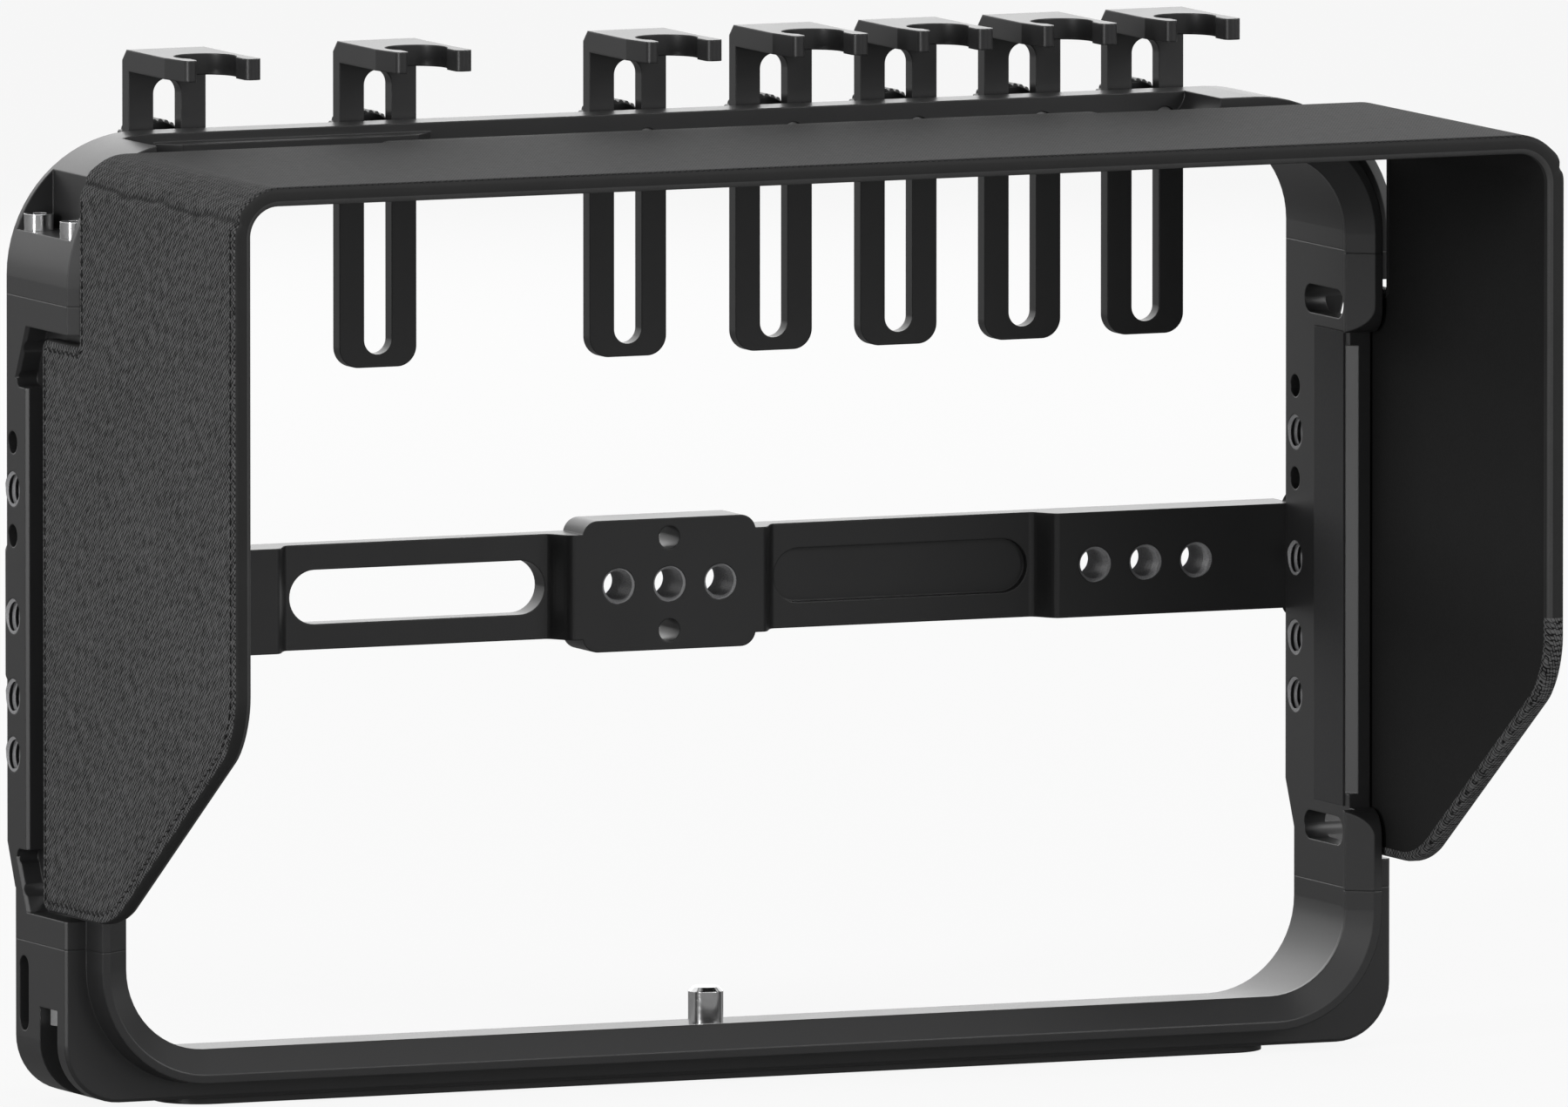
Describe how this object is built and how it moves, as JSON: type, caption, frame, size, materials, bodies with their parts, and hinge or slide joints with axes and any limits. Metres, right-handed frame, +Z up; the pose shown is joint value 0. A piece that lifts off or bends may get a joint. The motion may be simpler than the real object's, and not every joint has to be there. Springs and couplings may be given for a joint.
{
  "type": "streaming device cage",
  "caption": "Slim metal frame cage for a flat streaming device, with a rear crossbar, sliding cable clamps on thumb knobs, a lock screw and a pull-off sun hood.",
  "frame": {"origin": "on the ground under the middle of the whole cage, hood and knobs included", "axes": "+X to the right as seen from the front, +Y from the hood back to the knobs, +Z up"},
  "size_m": [0.26, 0.1156, 0.1873],
  "materials": {
    "anodised_frame": "black anodised, fine matte grain",
    "anodised_clamp": "black anodised, fine matte grain",
    "knob_metal": "black anodised, fluted",
    "stud_steel": "threaded steel",
    "polished_steel": "bright nickel",
    "black_steel": "black oxide",
    "pad_rubber": "fine matte rubber",
    "magnet_nickel": "nickel plate",
    "washer_nylon": "natural nylon",
    "hood_board": "stiff foam board",
    "hood_cloth": "woven nylon cloth with stitched hems",
    "hood_lining": "smooth black flock"
  },
  "bodies": {
    "frame": {"top_frame": "anodised_frame", "bottom_frame": "anodised_frame", "left_side_bar": "anodised_frame", "right_side_bar": "anodised_frame", "crossbar": "anodised_frame", "upper_frame_screws": "polished_steel", "lower_frame_screws": "polished_steel", "crossbar_screws": "black_steel", "left_pad": "pad_rubber", "right_pad": "pad_rubber", "frame_magnets": "magnet_nickel"},
    "washer": {"lock_washer": "washer_nylon"},
    "lock": {"lock_screw": "polished_steel"},
    "hood": {"hood_board": "hood_board", "hood_cover": "hood_cloth", "hood_lining": "hood_lining", "hood_magnets": "magnet_nickel"},
    "clamp_1": {"cable_clamp_1": "anodised_clamp"},
    "knob_1": {"clamp_knob_1": "knob_metal", "knob_stud_1": "stud_steel"},
    "clamp_2": {"cable_clamp_2": "anodised_clamp"},
    "knob_2": {"clamp_knob_2": "knob_metal", "knob_stud_2": "stud_steel"},
    "clamp_3": {"cable_clamp_3": "anodised_clamp"},
    "knob_3": {"clamp_knob_3": "knob_metal", "knob_stud_3": "stud_steel"},
    "clamp_4": {"cable_clamp_4": "anodised_clamp"},
    "knob_4": {"clamp_knob_4": "knob_metal", "knob_stud_4": "stud_steel"},
    "clamp_5": {"cable_clamp_5": "anodised_clamp"},
    "knob_5": {"clamp_knob_5": "knob_metal", "knob_stud_5": "stud_steel"},
    "clamp_6": {"cable_clamp_6": "anodised_clamp"},
    "knob_6": {"clamp_knob_6": "knob_metal", "knob_stud_6": "stud_steel"},
    "clamp_7": {"cable_clamp_7": "anodised_clamp"},
    "knob_7": {"clamp_knob_7": "knob_metal", "knob_stud_7": "stud_steel"}
  },
  "joints": [
    {"name": "lock_screw_travel", "type": "slide", "parent": "frame", "child": "washer", "axis": [0, 0, 1], "range_m": [-0.00635, 0]},
    {"name": "lock_screw_turn", "type": "hinge", "parent": "washer", "child": "lock", "pos_m": [0, 0.02975, 0], "axis": [0, 0, 1], "range_deg": [-1800, 0]},
    {"name": "hood_pull", "type": "slide", "parent": "frame", "child": "hood", "axis": [0, -1, 0], "range_m": [0, 0.024]},
    {"name": "clamp_slide_1", "type": "slide", "parent": "frame", "child": "clamp_1", "axis": [0, 0, 1], "range_m": [-0.01, 0.033]},
    {"name": "knob_turn_1", "type": "hinge", "parent": "frame", "child": "knob_1", "pos_m": [-0.09802, 0.05185, 0.1683], "axis": [0, 1, 0], "continuous": true},
    {"name": "clamp_slide_2", "type": "slide", "parent": "frame", "child": "clamp_2", "axis": [0, 0, 1], "range_m": [-0.01, 0.033]},
    {"name": "knob_turn_2", "type": "hinge", "parent": "frame", "child": "knob_2", "pos_m": [-0.05694, 0.05185, 0.1683], "axis": [0, 1, 0], "continuous": true},
    {"name": "clamp_slide_3", "type": "slide", "parent": "frame", "child": "clamp_3", "axis": [0, 0, 1], "range_m": [-0.01, 0.033]},
    {"name": "knob_turn_3", "type": "hinge", "parent": "frame", "child": "knob_3", "pos_m": [-0.008, 0.05185, 0.1683], "axis": [0, 1, 0], "continuous": true},
    {"name": "clamp_slide_4", "type": "slide", "parent": "frame", "child": "clamp_4", "axis": [0, 0, 1], "range_m": [-0.01, 0.033]},
    {"name": "knob_turn_4", "type": "hinge", "parent": "frame", "child": "knob_4", "pos_m": [0.02067, 0.05185, 0.1683], "axis": [0, 1, 0], "continuous": true},
    {"name": "clamp_slide_5", "type": "slide", "parent": "frame", "child": "clamp_5", "axis": [0, 0, 1], "range_m": [-0.01, 0.033]},
    {"name": "knob_turn_5", "type": "hinge", "parent": "frame", "child": "knob_5", "pos_m": [0.04524, 0.05185, 0.1683], "axis": [0, 1, 0], "continuous": true},
    {"name": "clamp_slide_6", "type": "slide", "parent": "frame", "child": "clamp_6", "axis": [0, 0, 1], "range_m": [-0.01, 0.033]},
    {"name": "knob_turn_6", "type": "hinge", "parent": "frame", "child": "knob_6", "pos_m": [0.06968, 0.05185, 0.1683], "axis": [0, 1, 0], "continuous": true},
    {"name": "clamp_slide_7", "type": "slide", "parent": "frame", "child": "clamp_7", "axis": [0, 0, 1], "range_m": [-0.01, 0.033]},
    {"name": "knob_turn_7", "type": "hinge", "parent": "frame", "child": "knob_7", "pos_m": [0.09399, 0.05185, 0.1683], "axis": [0, 1, 0], "continuous": true}
  ],
  "couplings": [
    {"joint": "lock_screw_turn", "follows": "lock_screw_travel", "rad_per_m": 4947.4}
  ]
}
